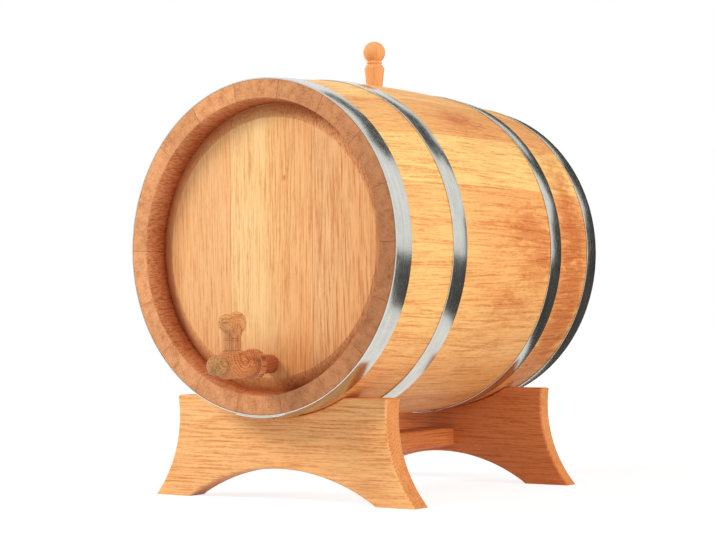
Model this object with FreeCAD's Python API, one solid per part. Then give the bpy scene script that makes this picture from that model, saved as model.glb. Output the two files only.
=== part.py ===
"""Oak cask drinks dispenser lying on a two-board cradle stand.

Row frame: +Z up, cask axis along Y, tapped front head towards -Y.
Origin: centre of the overall box, on the floor under the feet.
All lengths in millimetres. One STEP file per node in parts/.

Round forms are turned in equal flats, which keeps the whole model light:
the cask in CASK_FLATS, small turned pieces in TURNED_FLATS, liquor ways in
WAY_FLATS. The key's seat has its flats outside the turning circle of the plug.
"""
import os
import math
import FreeCAD
import Part

V = FreeCAD.Vector

# ---------------------------------------------------------------- dimensions
# cask
CASK_LEN = 372.0          # length over the chimes
END_R = 160.0             # outside radius at the chimes
BILGE_R = 169.0           # outside radius at mid length
STAVE_T = 22.0            # stave thickness between the crozes
STAVES = 18               # staves round the cask
STAVE_FLATS = 4           # flats across one stave
CHIME_IN_R = 141.8        # inside radius at the very end of a stave
CHIME_ROOT_R = 139.0      # inside radius where the chime meets the croze
ARRIS = 0.8               # outside corner taken off each stave end
OUTSIDE_RUNS = 6          # straight runs that make up the bend outside, and inside
INSIDE_RUNS = 4
AXIS_Z = 244.0            # height of the cask axis above the floor

# croze and heads
CROZE_Y = 25.5            # outer edge of the croze from the cask end
CROZE_W = 5.0             # croze width, and thickness of the head's tongue
CROZE_R = 143.0           # radius at the croze bottom
HEAD_FACE_Y = 19.5        # head's outer face from the cask end
HEAD_T = 18.0             # head thickness
HEAD_FLAT_R = 125.0       # radius of the flat, where the outer bevel starts
HEAD_BACK_R = 130.0       # radius where the inner bevel ends
HEAD_JOINTS = (-49.0, 51.0)   # joints between the three head boards
DOWEL_R = 4.0             # whittled eight-sided pegs
DOWEL_FLATS = 8
DOWEL_LEN = 40.0
DOWEL_Z = (-62.0, 62.0)   # dowel heights from the axis

# hoops
HOOP_T = 1.2              # strip thickness
HOOP_W = 22.0             # strip width
HOOP_STARTS = (0.0, 85.0, CASK_LEN - 85.0 - 22.0, CASK_LEN - 22.0)
LAP_FROM, LAP_TO = 260.0, 280.0        # lap, degrees from +X towards +Z
RIVET_ANGLES = (262.5, 272.5)          # middles of two flats of the lap
RIVET_PROFILE = ((3.0, 0.0), (2.6, 0.8), (1.5, 1.2))   # radius and height of the dome
RIVET_H = 1.3
RIVET_FLATS = 12

# turned pieces
TURNED_FLATS = 28
WAY_FLATS = 16
CLEAR = 0.05              # running fit of bung, tap shank and key

# bung
BUNG_Y = 196.0            # bung hole, a little behind mid length
BUNG_BOTTOM = 152.0       # heights above the cask axis; the tip stays inside the hole
BUNG_TOP_TAPER = 190.6
BUNG_R_BOTTOM = 6.2
BUNG_R_TOP = 10.35
BUNG_BALL_Z = 207.0
BUNG_BALL_R = 11.4

# tap
TAP_Z = -111.7            # tap axis from the cask axis
TAP_TIP = 70.6            # reach of the nose in front of the cask end
NOSE_R = 9.8
NECK_R = 7.6
BARREL_R = 13.6
FLANGE_R = 15.0
SHANK_R_OUT = 9.8         # behind the flange
SHANK_R_IN = 7.6          # inner end, inside the cask
SHANK_START = -4.2        # back of the flange, from the cask end plane
SHANK_END = 47.0          # how far the shank reaches past the cask end plane
BORE_R = 3.5              # liquor way
SPOUT_R = 3.4             # outlet under the nose

# key
KEY_Y = -39.0             # key axis
KEY_SEAT = 13.6           # seat of the key above the tap axis
KEY_BOSS_R = 9.4
KEY_BOTTOM = -12.8        # lower end of the plug, from the tap axis
KEY_PLUG_R = (6.3, 7.6)   # taper plug, bottom and top
KEY_STEM_R = 8.8
KEY_GROOVES = (23.0, 25.0)
GROOVE_DEPTH = 0.55
HANDLE_Z = 39.4           # handle axis above the tap axis
# the handle's two knobs: place along Y from the key axis, radius, half length
HANDLE_KNOBS = ((-7.6, 8.4, 8.4), (6.7, 10.8, 7.2))
HANDLE_NECK_R = 6.6
SADDLE_R = 9.9            # widest part of the stem, under the handle
TENON_R = 4.2

# stand
# each board: front face from the cask end, thickness, inner end of its feet from the middle
BOARDS = {"stand_front_board": (29.0, 23.0, 113.0), "stand_rear_board": (311.0, 17.0, 106.0)}
BOARD_SIDE = ((128.0, 100.5), (129.0, 57.0), (158.5, 0.0))   # top corner, waist and foot of the side
SIDE_RUNS = 7
ARCH_H = 31.0                  # rise of the arch between the feet
ARCH_RUNS = 12
BOARD_BEVEL = 2.5              # corner taken off the boards' long edges
CRADLE_GAP = 0.35              # air between cradle and staves
RAIL_W = 36.0                  # stretcher section
RAIL_H = 20.0
RAIL_Z = 36.5                  # underside of the stretcher
RAIL_BEVEL = 3.0
TENON_W, TENON_H, TENON_L = 24.0, 12.0, 12.0

FRONT_Y = -(CASK_LEN - TAP_TIP) / 2.0      # cask's front end in the row frame
PLACE = V(0, FRONT_Y, AXIS_Z)              # from cask axes to the row frame
CASK_FLATS = STAVES * STAVE_FLATS

BULGE = BILGE_R - END_R
ARC_R = ((CASK_LEN / 2) ** 2 + BULGE ** 2) / (2 * BULGE)


# ---------------------------------------------------------------- helpers
def spread(a, b, n):
    return [a + (b - a) * k / n for k in range(n + 1)]


def bent_r(y, depth=0.0):
    """Radius of the bent staves at distance y from the front end, at a depth below the outside."""
    return BILGE_R - ARC_R + math.sqrt((ARC_R - depth) ** 2 - (y - CASK_LEN / 2) ** 2)


OUTSIDE = [(bent_r(y), y) for y in spread(ARRIS, CASK_LEN - ARRIS, OUTSIDE_RUNS)]


def outside_r(y):
    """Radius of the cask's outside at y, on its straight runs, carried on past both ends."""
    for (r0, y0), (r1, y1) in zip(OUTSIDE, OUTSIDE[1:]):
        if y <= y1:
            break
    return r0 + (r1 - r0) * (y - y0) / (y1 - y0)


def polygon(points):
    return Part.Face(Part.makePolygon(list(points) + [points[0]]))


def lathe(points, flats, start=0.0, sweep=360.0):
    """Closed profile of (radius, place) points carried round the Y axis in equal flats.

    Angles run from +X towards +Z. A profile may touch the axis.
    """
    full = sweep > 359.9
    rays = []
    for k in range(flats + 1):
        a = math.radians(start + sweep * (k % flats if full else k) / flats)
        rays.append([V(r * math.cos(a), y, r * math.sin(a)) for r, y in points])
    faces = []
    for here, there in zip(rays, rays[1:]):
        for i in range(len(points)):
            j = (i + 1) % len(points)
            corners = [here[i], here[j]]
            corners += [p for p, twin in ((there[j], here[j]), (there[i], here[i])) if p.distanceToPoint(twin) > 1e-6]
            if len(corners) > 2:
                faces.append(polygon(corners))
    if not full:
        faces += [polygon(rays[0]), polygon(rays[-1])]
    return closed(faces)


def closed(faces):
    shell = Part.Shell(faces)
    solid = Part.Solid(shell)
    if solid.Volume < 0:
        shell.reverse()
        solid = Part.Solid(shell)
    return solid.removeSplitter()


def turned(points):
    """Small turned piece along Y, from (radius, place) points that start and end on the axis."""
    return lathe(points, TURNED_FLATS)


def upright(solid):
    """Stand a piece that was turned along +Y up along +Z."""
    solid.rotate(V(0, 0, 0), V(1, 0, 0), 90)
    return solid


def ball(c, r, a0, a1, runs, half=None):
    """Outline of a ball, or of a knob with its own half length, from angle a0 to a1 off the axis.

    The points are (radius, place).
    """
    half = half or r
    out = []
    for a in spread(a0, a1, runs):
        rad = math.radians(a)
        out.append((max(0.0, round(r * math.sin(rad), 9)), c + half * math.cos(rad)))
    return out


def taper(y, r0, y0, r1, y1):
    return r0 + (r1 - r0) * (y - y0) / (y1 - y0)


def save(node, shape, moved=PLACE):
    shape = shape.copy()
    shape.translate(moved)
    if shape.ShapeType == "Compound" and len(shape.Solids) == 1:
        shape = shape.Solids[0]
    shape.exportStep(os.path.join("parts", node + ".step"))


os.makedirs("parts", exist_ok=True)


# ---------------------------------------------------------------- bung
def bung_r(z):
    return taper(z, BUNG_R_BOTTOM, BUNG_BOTTOM + 1.0, BUNG_R_TOP, BUNG_TOP_TAPER)


def make_bung():
    zt = BUNG_TOP_TAPER
    neck = [(9.9, 1.1), (8.9, 1.6), (8.9, 3.0), (6.9, 3.5), (6.9, 4.1), (7.8, 5.0), (7.8, 6.4)]
    points = [(0, BUNG_BOTTOM), (BUNG_R_BOTTOM - 1.0, BUNG_BOTTOM), (BUNG_R_BOTTOM, BUNG_BOTTOM + 1.0),
              (BUNG_R_TOP, zt)]
    points += [(r, zt + h) for r, h in neck]
    return upright(turned(points + ball(BUNG_BALL_Z, BUNG_BALL_R, 142.0, 0.0, 8)))


def bung_hole():
    lo, hi = BILGE_R - STAVE_T - 12.0, BILGE_R + 12.0
    hole = upright(turned([(0, lo), (bung_r(lo) + CLEAR, lo), (bung_r(hi) + CLEAR, hi), (0, hi)]))
    hole.translate(V(0, BUNG_Y, 0))
    return hole


save("bung", make_bung(), PLACE + V(0, BUNG_Y, 0))


# ---------------------------------------------------------------- staves
def stave_profile():
    L = CASK_LEN
    c0, c1 = CROZE_Y, CROZE_Y + CROZE_W
    inside = [(bent_r(y, STAVE_T), y) for y in spread(L - c1, c1, INSIDE_RUNS)]
    return ([(CHIME_IN_R, 0), (END_R - ARRIS, 0)] + OUTSIDE + [(END_R - ARRIS, L), (CHIME_IN_R, L)]
            + [(CHIME_ROOT_R, L - c0), (CROZE_R, L - c0), (CROZE_R, L - c1)]
            + inside + [(CROZE_R, c1), (CROZE_R, c0), (CHIME_ROOT_R, c0)])


stave_angle = 360.0 / STAVES
for i in range(STAVES):
    stave = lathe(stave_profile(), STAVE_FLATS, i * stave_angle, stave_angle)
    name = "stave_%02d" % (i + 1)
    if abs((i + 0.5) * stave_angle - 90.0) < 0.1:
        stave = stave.cut(bung_hole())
        name = "stave_bung"
    save(name, stave)


# ---------------------------------------------------------------- heads
def head_disc():
    f, c0, c1, b = HEAD_FACE_Y, CROZE_Y, CROZE_Y + CROZE_W, HEAD_FACE_Y + HEAD_T
    return lathe([(0, f), (HEAD_FLAT_R, f), (CHIME_ROOT_R - 0.4, c0), (CROZE_R, c0), (CROZE_R, c1),
                  (bent_r(c1, STAVE_T) - 0.6, c1), (HEAD_BACK_R, b), (0, b)], CASK_FLATS)


def dowel(x, z):
    peg = lathe([(0, 0), (DOWEL_R, 0), (DOWEL_R, DOWEL_LEN), (0, DOWEL_LEN)], DOWEL_FLATS)
    peg.rotate(V(0, 0, 0), V(0, 0, 1), -90)
    peg.translate(V(x - DOWEL_LEN / 2, HEAD_FACE_Y + HEAD_T / 2, z))
    return peg


def shank_r(y):
    """Shank taper between the flange and the inner end."""
    return taper(y, SHANK_R_OUT, SHANK_START, SHANK_R_IN, SHANK_END)


def tap_hole():
    lo, hi = HEAD_FACE_Y - 3.0, HEAD_FACE_Y + HEAD_T + 3.0
    hole = turned([(0, lo), (shank_r(lo) + CLEAR, lo), (shank_r(hi) + CLEAR, hi), (0, hi)])
    hole.translate(V(0, 0, TAP_Z))
    return hole


dowels = [dowel(x, z) for x in HEAD_JOINTS for z in DOWEL_Z]
edges_x = (-CROZE_R - 5.0,) + HEAD_JOINTS + (CROZE_R + 5.0,)
mid_length = V(0, CASK_LEN / 2, 0)
disc = head_disc()
for end in ("front", "rear"):
    for k, side in enumerate(("left", "middle", "right")):
        slab = Part.makeBox(edges_x[k + 1] - edges_x[k], 60, 400, V(edges_x[k], 0, -200))
        board = disc.common(slab)
        for peg in dowels:
            board = board.cut(peg)
        if end == "front" and side == "middle":
            board = board.cut(tap_hole())
        if end == "rear":
            board = board.mirror(mid_length, V(0, 1, 0))
        save("head_%s_%s" % (end, side), board)
    group = Part.makeCompound(dowels)
    if end == "rear":
        group = group.mirror(mid_length, V(0, 1, 0))
    save("head_%s_dowels" % end, group)


# ---------------------------------------------------------------- hoops
def strip_section(y, depth):
    """Section of one strip thickness from y to y + HOOP_W, raised by a number of strips."""
    near, far = outside_r(y) + depth * HOOP_T, outside_r(y + HOOP_W) + depth * HOOP_T
    return [(near, y), (far, y + HOOP_W), (far + HOOP_T, y + HOOP_W), (near + HOOP_T, y)]


def rivet(y, angle):
    """Domed rivet head seated on the middle of one flat of the lap."""
    near, far = outside_r(y), outside_r(y + HOOP_W)
    middle = (near + far) / 2 + 2 * HOOP_T
    head = lathe([(0, 0)] + list(RIVET_PROFILE) + [(0, RIVET_H)], RIVET_FLATS)
    head.rotate(V(0, 0, 0), V(0, 0, 1), -90 - math.degrees(math.atan2(far - near, HOOP_W)))
    head.translate(V(middle * math.cos(math.pi / CASK_FLATS), y + HOOP_W / 2, 0))
    head.rotate(V(0, 0, 0), V(0, -1, 0), angle)
    return head


lap_flats = round((LAP_TO - LAP_FROM) / (360.0 / CASK_FLATS))
for k, y in enumerate(HOOP_STARTS):
    ring = lathe(strip_section(y, 0), CASK_FLATS)
    lap = lathe(strip_section(y, 1), lap_flats, LAP_FROM, LAP_TO - LAP_FROM)
    save("hoop_%d" % (k + 1), ring.fuse(lap).removeSplitter())
    save("hoop_%d_rivets" % (k + 1), Part.makeCompound([rivet(y, a) for a in RIVET_ANGLES]))


# ---------------------------------------------------------------- tap
nose_y = -(TAP_TIP - NOSE_R)          # middle of the nose


def make_tap():
    nose = [(r, -y) for r, y in ball(-nose_y, NOSE_R, 0.0, 120.0, 6)]
    neck_y = nose_y + 5.3
    body = turned(nose + [
        (NECK_R, neck_y), (NECK_R, neck_y + 1.1), (11.0, -52.6), (12.6, -49.6), (13.3, -43.0),
        (BARREL_R, -33.0), (13.3, -23.0), (12.6, -18.0), (11.0, -14.6), (11.0, -13.2),
        (14.1, -12.6), (FLANGE_R, -11.0), (FLANGE_R, -5.8), (14.1, SHANK_START),
        (SHANK_R_OUT, SHANK_START), (SHANK_R_IN, SHANK_END), (0, SHANK_END)])
    boss = upright(turned([(0, 0), (KEY_BOSS_R, 0), (KEY_BOSS_R, KEY_SEAT), (0, KEY_SEAT)]))
    boss.translate(V(0, KEY_Y, 0))
    body = body.fuse(boss).removeSplitter()
    lo, hi = -BARREL_R - 2.0, KEY_SEAT
    seat = upright(turned([(0, lo), (seat_r(lo), lo), (seat_r(hi), hi), (0, hi)]))
    seat.translate(V(0, KEY_Y, 0))
    way_start = nose_y - SPOUT_R - 0.6
    spout = upright(way(SPOUT_R, -NOSE_R - 3.0, 0.0))
    spout.translate(V(0, nose_y, 0))
    body = body.cut(seat).cut(way(BORE_R, way_start, SHANK_END + 1.0)).cut(spout)
    return max(body.Solids, key=lambda s: s.Volume)


def plug_r(z):
    """Taper of the key's plug."""
    return taper(z, KEY_PLUG_R[0], KEY_BOTTOM, KEY_PLUG_R[1], KEY_SEAT)


def seat_r(z):
    """Corners of the key's seat: its flats clear the plug's corners as it turns."""
    return (plug_r(z) + CLEAR) / math.cos(math.pi / TURNED_FLATS)


def way(r, start, end):
    """Straight liquor way along Y."""
    return lathe([(0, start), (r, start), (r, end), (0, end)], WAY_FLATS)


tap_place = PLACE + V(0, 0, TAP_Z)
save("tap_body", make_tap(), tap_place)


# ---------------------------------------------------------------- key and handle
def make_handle():
    """Turned dumbbell along Y: a ball and a wider, flatter knob joined by a neck."""
    (front_c, front_r, front_half), (rear_c, rear_r, rear_half) = HANDLE_KNOBS
    front_a = math.degrees(math.asin(HANDLE_NECK_R / front_r))
    rear_a = 180.0 - math.degrees(math.asin(HANDLE_NECK_R / rear_r))
    outline = ball(front_c, front_r, 180.0, front_a, 6, front_half)
    outline += ball(rear_c, rear_r, rear_a, 0.0, 7, rear_half)
    handle = turned(outline)
    handle.translate(V(0, 0, HANDLE_Z))
    return handle


def make_stem(handle):
    """Taper plug and grooved stem, with a saddle for the handle's neck."""
    shoulder = KEY_SEAT + 0.1
    points = [(0, shoulder), (KEY_STEM_R - 0.4, shoulder), (KEY_STEM_R, shoulder + 0.4)]
    for z in KEY_GROOVES:
        points += [(KEY_STEM_R, z - 0.5), (KEY_STEM_R - GROOVE_DEPTH, z), (KEY_STEM_R, z + 0.5)]
    points += [(KEY_STEM_R, 26.5), (SADDLE_R, 32.5), (8.8, HANDLE_Z - 1.4), (0, HANDLE_Z - 1.4)]
    stem = upright(turned(points)).cut(handle)
    stem = min(stem.Solids, key=lambda s: s.BoundBox.ZMin)
    low = KEY_BOTTOM
    plug = upright(turned([(0, low), (plug_r(low), low), (plug_r(shoulder), shoulder), (0, shoulder)]))
    return stem.fuse([plug, tenon()]).removeSplitter().cut(way(BORE_R, -15.0, 15.0))


def tenon():
    """Peg of the stem in the underside of the handle."""
    peg = upright(lathe([(0, 0), (TENON_R, 0), (TENON_R, 10.0), (0, 10.0)], DOWEL_FLATS))
    peg.translate(V(0, 0, HANDLE_Z - 8.0))
    return peg


handle = make_handle()
key_place = tap_place + V(0, KEY_Y, 0)
save("tap_key_stem", make_stem(handle), key_place)
save("tap_key_handle", handle.cut(tenon()), key_place)


# ---------------------------------------------------------------- stand
def arc_points(a, m, b, runs):
    """Points from a to b on the circle through a, m and b."""
    circle = Part.Arc(V(*a, 0), V(*m, 0), V(*b, 0))
    first, last = circle.FirstParameter, circle.LastParameter
    return [(p.x, p.y) for p in (circle.value(t) for t in spread(first, last, runs))]


def board_outline(foot_in):
    """Corners (x, z) of a board, clockwise seen from the front, from the right top corner."""
    right = arc_points(*BOARD_SIDE, SIDE_RUNS)
    arch = arc_points((foot_in, 0), (0, ARCH_H), (-foot_in, 0), ARCH_RUNS)
    return right + arch + [(-x, z) for x, z in reversed(right)]


def inset(corners, depth):
    """Move every side of an outline inward by depth, except the sides that stand on the floor."""
    n = len(corners)
    lines = []
    for (x0, z0), (x1, z1) in zip(corners, corners[1:] + corners[:1]):
        length = math.hypot(x1 - x0, z1 - z0)
        d = 0.0 if abs(z0) < 1e-9 and abs(z1) < 1e-9 else depth
        nx, nz = (z1 - z0) / length, -(x1 - x0) / length        # inward for a clockwise outline
        lines.append((nx, nz, nx * x0 + nz * z0 + d))
    out = []
    for i in range(n):
        (a, b, c), (d, e, f) = lines[i - 1], lines[i]
        det = a * e - b * d
        out.append(((c * e - b * f) / det, (a * f - c * d) / det))
    return out


def bevelled_plate(corners, y, thick, bevel):
    """Plate across Y with the corners of its edges taken off."""
    small = inset(corners, bevel)
    rims = [(small, y), (corners, y + bevel), (corners, y + thick - bevel), (small, y + thick)]
    loops = [[V(x, level, z) for x, z in loop] for loop, level in rims]
    faces = [polygon(loops[0]), polygon(loops[-1])]
    for near, far in zip(loops, loops[1:]):
        for i in range(len(corners)):
            faces.append(polygon([near[i - 1], near[i], far[i], far[i - 1]]))
    return closed(faces)


reach = 5.0                # the cradle is cut this far past the cask's ends
cradle_line = [(outside_r(y) + CRADLE_GAP, y) for y in [-reach] + [y for r, y in OUTSIDE[1:-1]] + [CASK_LEN + reach]]
cradle = lathe([(0, -reach)] + cradle_line + [(0, CASK_LEN + reach)], CASK_FLATS)
cradle.translate(PLACE)

front_y, front_t, front_foot = BOARDS["stand_front_board"]
rail_lo = FRONT_Y + front_y + front_t
rail_hi = FRONT_Y + BOARDS["stand_rear_board"][0]
rail = Part.makeBox(RAIL_W, rail_hi - rail_lo, RAIL_H, V(-RAIL_W / 2, rail_lo, RAIL_Z))
rail = rail.makeChamfer(RAIL_BEVEL, [e for e in rail.Edges if e.BoundBox.YLength > 50])
tenon_z = RAIL_Z + (RAIL_H - TENON_H) / 2
tenons = [Part.makeBox(TENON_W, TENON_L, TENON_H, V(-TENON_W / 2, y, tenon_z)) for y in (rail_lo - TENON_L, rail_hi)]
save("stand_stretcher", rail.fuse(tenons).removeSplitter(), V(0, 0, 0))

for name, (y, thick, foot_in) in BOARDS.items():
    board = bevelled_plate(board_outline(foot_in), FRONT_Y + y, thick, BOARD_BEVEL)
    board = board.cut(cradle)
    for t in tenons:
        board = board.cut(t)
    save(name, board, V(0, 0, 0))
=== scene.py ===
"""Looks of the oak cask dispenser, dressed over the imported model.

Lengths are in millimetres in cask axes (x, distance behind the front chime, height above
the cask axis) until a mesh is made. Blender's own units are metres in the shared frame.
"""
import math
import random

import bmesh
import bpy
from mathutils import Matrix, Vector


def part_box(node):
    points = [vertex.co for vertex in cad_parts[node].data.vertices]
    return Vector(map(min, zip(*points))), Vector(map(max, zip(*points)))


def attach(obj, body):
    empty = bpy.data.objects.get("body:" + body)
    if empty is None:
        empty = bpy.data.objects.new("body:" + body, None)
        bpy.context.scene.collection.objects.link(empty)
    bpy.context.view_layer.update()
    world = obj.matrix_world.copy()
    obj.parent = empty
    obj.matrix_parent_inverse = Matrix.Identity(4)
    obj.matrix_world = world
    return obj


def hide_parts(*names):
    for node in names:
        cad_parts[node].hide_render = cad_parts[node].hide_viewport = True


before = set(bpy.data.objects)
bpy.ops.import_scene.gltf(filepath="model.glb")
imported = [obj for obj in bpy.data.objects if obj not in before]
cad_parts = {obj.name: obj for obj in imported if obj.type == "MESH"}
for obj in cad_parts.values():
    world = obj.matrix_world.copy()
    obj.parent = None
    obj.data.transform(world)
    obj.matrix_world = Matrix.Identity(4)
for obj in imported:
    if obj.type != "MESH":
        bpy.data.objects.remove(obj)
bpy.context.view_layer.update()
MM = 0.001
TINY = 1e-6

# ---------------------------------------------------------------- sizes, from the frame where it has them
def span(node):
    lo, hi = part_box(node)
    return lo / MM, hi / MM


stave_lo, stave_hi = span("stave_01")
head_lo, head_hi = span("head_front_middle")
tap_lo, tap_hi = span("tap_body")
FRONT_Y = stave_lo.y                       # front chime in the shared frame
CASK_LEN = stave_hi.y - stave_lo.y
AXIS_Z = (head_lo.z + head_hi.z) / 2
TAP_Z = (tap_lo.z + tap_hi.z) / 2 - AXIS_Z
TAP_TIP = FRONT_Y - tap_lo.y

END_R, BILGE_R, STAVE_T, STAVES = 160.0, 169.0, 22.0, 18
CHIME_IN_R, CHIME_ROOT_R = 141.8, 139.0
CROZE_Y, CROZE_W, CROZE_R = 25.5, 5.0, 143.0
HEAD_FACE_Y, HEAD_T = head_lo.y - FRONT_Y, head_hi.y - head_lo.y
HEAD_FLAT_R, HEAD_BACK_R = 125.0, 130.0
HEAD_JOINTS = (-49.0, 51.0)
HOOP_T, HOOP_W = 1.2, 22.0
HOOP_STARTS = (0.0, 85.0, CASK_LEN - 85.0 - HOOP_W, CASK_LEN - HOOP_W)
RIVET_ANGLES = (262.5, 272.5)
# degrees: a hoop's lap starts at LAP_FROM, and from LAP_SINKS to LAP_TO it goes down to the strip
LAP_FROM, LAP_SINKS, LAP_TO = 260.0, 279.0, 282.0
BUNG_Y, BUNG_BOTTOM, BUNG_TOP_TAPER = 196.0, 152.0, 190.6
BUNG_R_BOTTOM, BUNG_R_TOP, BUNG_BALL_Z, BUNG_BALL_R = 6.2, 10.35, 207.0, 11.4
CLEAR = 0.05                               # running fit of bung, tap and key
NOSE_R, BARREL_R, FLANGE_R = 9.8, 13.6, 15.0
NOSE_Y = -(TAP_TIP - NOSE_R)
SHANK_R_OUT, SHANK_START, SHANK_R_IN, SHANK_END = 9.8, -4.2, 7.6, 47.0
BORE_R, SPOUT_R = 3.5, 3.4
KEY_Y, KEY_SEAT, KEY_BOSS_R, KEY_BOTTOM, KEY_STEM_R = -39.0, 13.6, 9.4, -12.8, 8.8
KEY_PLUG_R, KEY_GROOVES = (6.3, 7.6), (23.0, 25.0)
GROOVE_HALF, GROOVE_DEPTH = 0.55, 0.7
HANDLE_Z, HANDLE_NECK_R, HANDLE_KNOBS = 39.4, 6.6, ((-7.6, 8.4, 8.4), (6.7, 10.8, 7.2))
BOARD_SIDE = ((128.0, 100.5), (129.0, 57.0), (158.5, 0.0))
FOOT_INS = {"stand_front_board": 113.0, "stand_rear_board": 106.0}
ARCH_H, CRADLE_GAP = 31.0, 0.35
RAIL_W, RAIL_H, RAIL_Z = 36.0, 20.0, 36.5

BULGE = BILGE_R - END_R
ARC_R = ((CASK_LEN / 2) ** 2 + BULGE ** 2) / (2 * BULGE)


def bent_r(y, depth=0.0):
    """Radius of the bent staves at y, at a depth below the outside."""
    return BILGE_R - ARC_R + math.sqrt((ARC_R - depth) ** 2 - (y - CASK_LEN / 2) ** 2)


# ---------------------------------------------------------------- outlines
def spread(a, b, n):
    return [a + (b - a) * k / n for k in range(n + 1)]


def taper(y, r0, y0, r1, y1):
    return r0 + (r1 - r0) * (y - y0) / (y1 - y0)


def ball(c, r, a0, a1, runs, half=None):
    """(radius, place) points of a ball or knob from angle a0 to a1 off the axis."""
    out = []
    for a in spread(a0, a1, runs):
        rad = math.radians(a)
        out.append((max(0.0, r * math.sin(rad)), c + (half or r) * math.cos(rad)))
    return out


def rounded(points, radius, steps=4, loop=False):
    """The same path with its corners rounded. A point may carry its own radius as a third value."""
    n = len(points)
    out = []
    for i, p in enumerate(points):
        here = Vector(p[:2])
        if not loop and i in (0, n - 1):
            out.append(tuple(here))
            continue
        before, after = Vector(points[i - 1][:2]) - here, Vector(points[(i + 1) % n][:2]) - here
        want = p[2] if len(p) > 2 else radius
        half = before.angle(after, math.pi) / 2
        if want <= 0 or half > math.radians(87):
            out.append(tuple(here))
            continue
        cut = min(want / math.tan(half), 0.45 * before.length, 0.45 * after.length)
        a, b = here + before.normalized() * cut, here + after.normalized() * cut
        for t in spread(0.0, 1.0, steps):
            out.append(tuple(a * (1 - t) ** 2 + here * 2 * t * (1 - t) + b * t ** 2))
    return out


def smooth_path(points, per_span=5):
    """Catmull-Rom curve through (radius, place) points."""
    pts = [Vector(p) for p in points]
    pts = [2 * pts[0] - pts[1]] + pts + [2 * pts[-1] - pts[-2]]
    out = []
    for a, b, c, d in zip(pts, pts[1:], pts[2:], pts[3:]):
        for k in range(per_span):
            t = k / per_span
            square, cube = 2 * a - 5 * b + 4 * c - d, 3 * b - a - 3 * c + d
            p = (2 * b + (c - a) * t + square * t ** 2 + cube * t ** 3) / 2
            out.append((p.x, p.y))
    out.append(tuple(pts[-2]))
    return out


def arc_through(a, m, b, runs):
    """Points from a to b on the circle through a, m and b."""
    ax, ay, mx, my, bx, by = *a, *m, *b
    d = 2 * (ax * (my - by) + mx * (by - ay) + bx * (ay - my))
    aa, mm, bb = ax * ax + ay * ay, mx * mx + my * my, bx * bx + by * by
    cx = (aa * (my - by) + mm * (by - ay) + bb * (ay - my)) / d
    cy = (aa * (bx - mx) + mm * (ax - bx) + bb * (mx - ax)) / d
    r = math.hypot(ax - cx, ay - cy)
    t0, tm, t1 = (math.atan2(y - cy, x - cx) for x, y in (a, m, b))
    turn = (t1 - t0 + math.pi) % (2 * math.pi) - math.pi
    if not min(0, turn) <= ((tm - t0 + math.pi) % (2 * math.pi) - math.pi) <= max(0, turn):
        turn -= math.copysign(2 * math.pi, turn)
    turns = (t0 + turn * k / runs for k in range(runs + 1))
    return [(cx + r * math.cos(t), cy + r * math.sin(t)) for t in turns]


def inset(points, depth):
    """A closed outline moved inward by depth along its corner normals."""
    n = len(points)
    area = sum(p[0] * q[1] - q[0] * p[1] for p, q in zip(points, points[1:] + points[:1]))
    side = 1.0 if area > 0 else -1.0
    out = []
    for i in range(n):
        a, p, b = (Vector(points[j % n]) for j in (i - 1, i, i + 1))
        u, v = (p - a).normalized(), (b - p).normalized()
        normal = Vector((-(u.y + v.y), u.x + v.x)) * side
        if normal.length < TINY:
            out.append(tuple(p))
            continue
        normal.normalize()
        lean = max(0.35, abs(normal.dot(Vector((-u.y, u.x)))))
        out.append(tuple(p + normal * depth / lean))
    return out


# ---------------------------------------------------------------- meshes
def cask_point(r, y, degrees):
    a = math.radians(degrees)
    return Vector((r * math.cos(a), y, r * math.sin(a)))


def degrees_from(angle, p):
    """How far a point lies round the cask's axis from an angle, between -180 and 180 degrees."""
    return (math.degrees(math.atan2(p.z, p.x)) - angle + 180.0) % 360.0 - 180.0


def loft(bm, loops, join_ends=False):
    """Faces between loops of equally many points; the end loops are capped unless they are joined."""
    rows = [[bm.verts.new(p) for p in loop] for loop in loops]
    pairs = list(zip(rows, rows[1:])) + ([(rows[-1], rows[0])] if join_ends else [])
    for near, far in pairs:
        for i in range(len(near)):
            j = (i + 1) % len(near)
            bm.faces.new((near[i], near[j], far[j], far[i]))
    if not join_ends:
        bm.faces.new(rows[0])
        bm.faces.new(list(reversed(rows[-1])))
    bmesh.ops.recalc_face_normals(bm, faces=bm.faces)


def lathe(bm, path, steps):
    """Turned solid about the Y axis from (radius, place) points that start and end on the axis."""
    rings = []
    for r, y in path:
        if r < TINY:
            rings.append([bm.verts.new((0, y, 0))])
        else:
            rings.append([bm.verts.new(cask_point(r, y, 360.0 * k / steps)) for k in range(steps)])
    for near, far in zip(rings, rings[1:]):
        for k in range(steps):
            m = (k + 1) % steps
            corners = []
            for v in (near[k % len(near)], near[m % len(near)], far[m % len(far)], far[k % len(far)]):
                if v not in corners:
                    corners.append(v)
            if len(corners) > 2:
                bm.faces.new(corners)
    bmesh.ops.recalc_face_normals(bm, faces=bm.faces)


def turned(path, steps=72, along="y", at=(0, 0, 0)):
    """A bmesh turned along Y or Z and moved to its place in cask axes."""
    bm = bmesh.new()
    lathe(bm, path, steps)
    if along == "z":
        bm.transform(Matrix.Rotation(math.pi / 2, 4, "X"))
    bm.transform(Matrix.Translation(at))
    return bm


def tapered_hole(radius, lo, hi):
    """Path of the cutter for a tapered hole, which is wider than radius gives by the running fit."""
    return [(0, lo), (radius(lo) + CLEAR, lo), (radius(hi) + CLEAR, hi), (0, hi)]


def mesh_of(bm, name):
    mesh = bpy.data.meshes.new(name)
    bm.to_mesh(mesh)
    bm.free()
    return mesh


def placed(name, data):
    """A new object of the scene that shows a mesh, a lamp or a camera."""
    ob = bpy.data.objects.new(name, data)
    bpy.context.scene.collection.objects.link(ob)
    return ob


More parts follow.
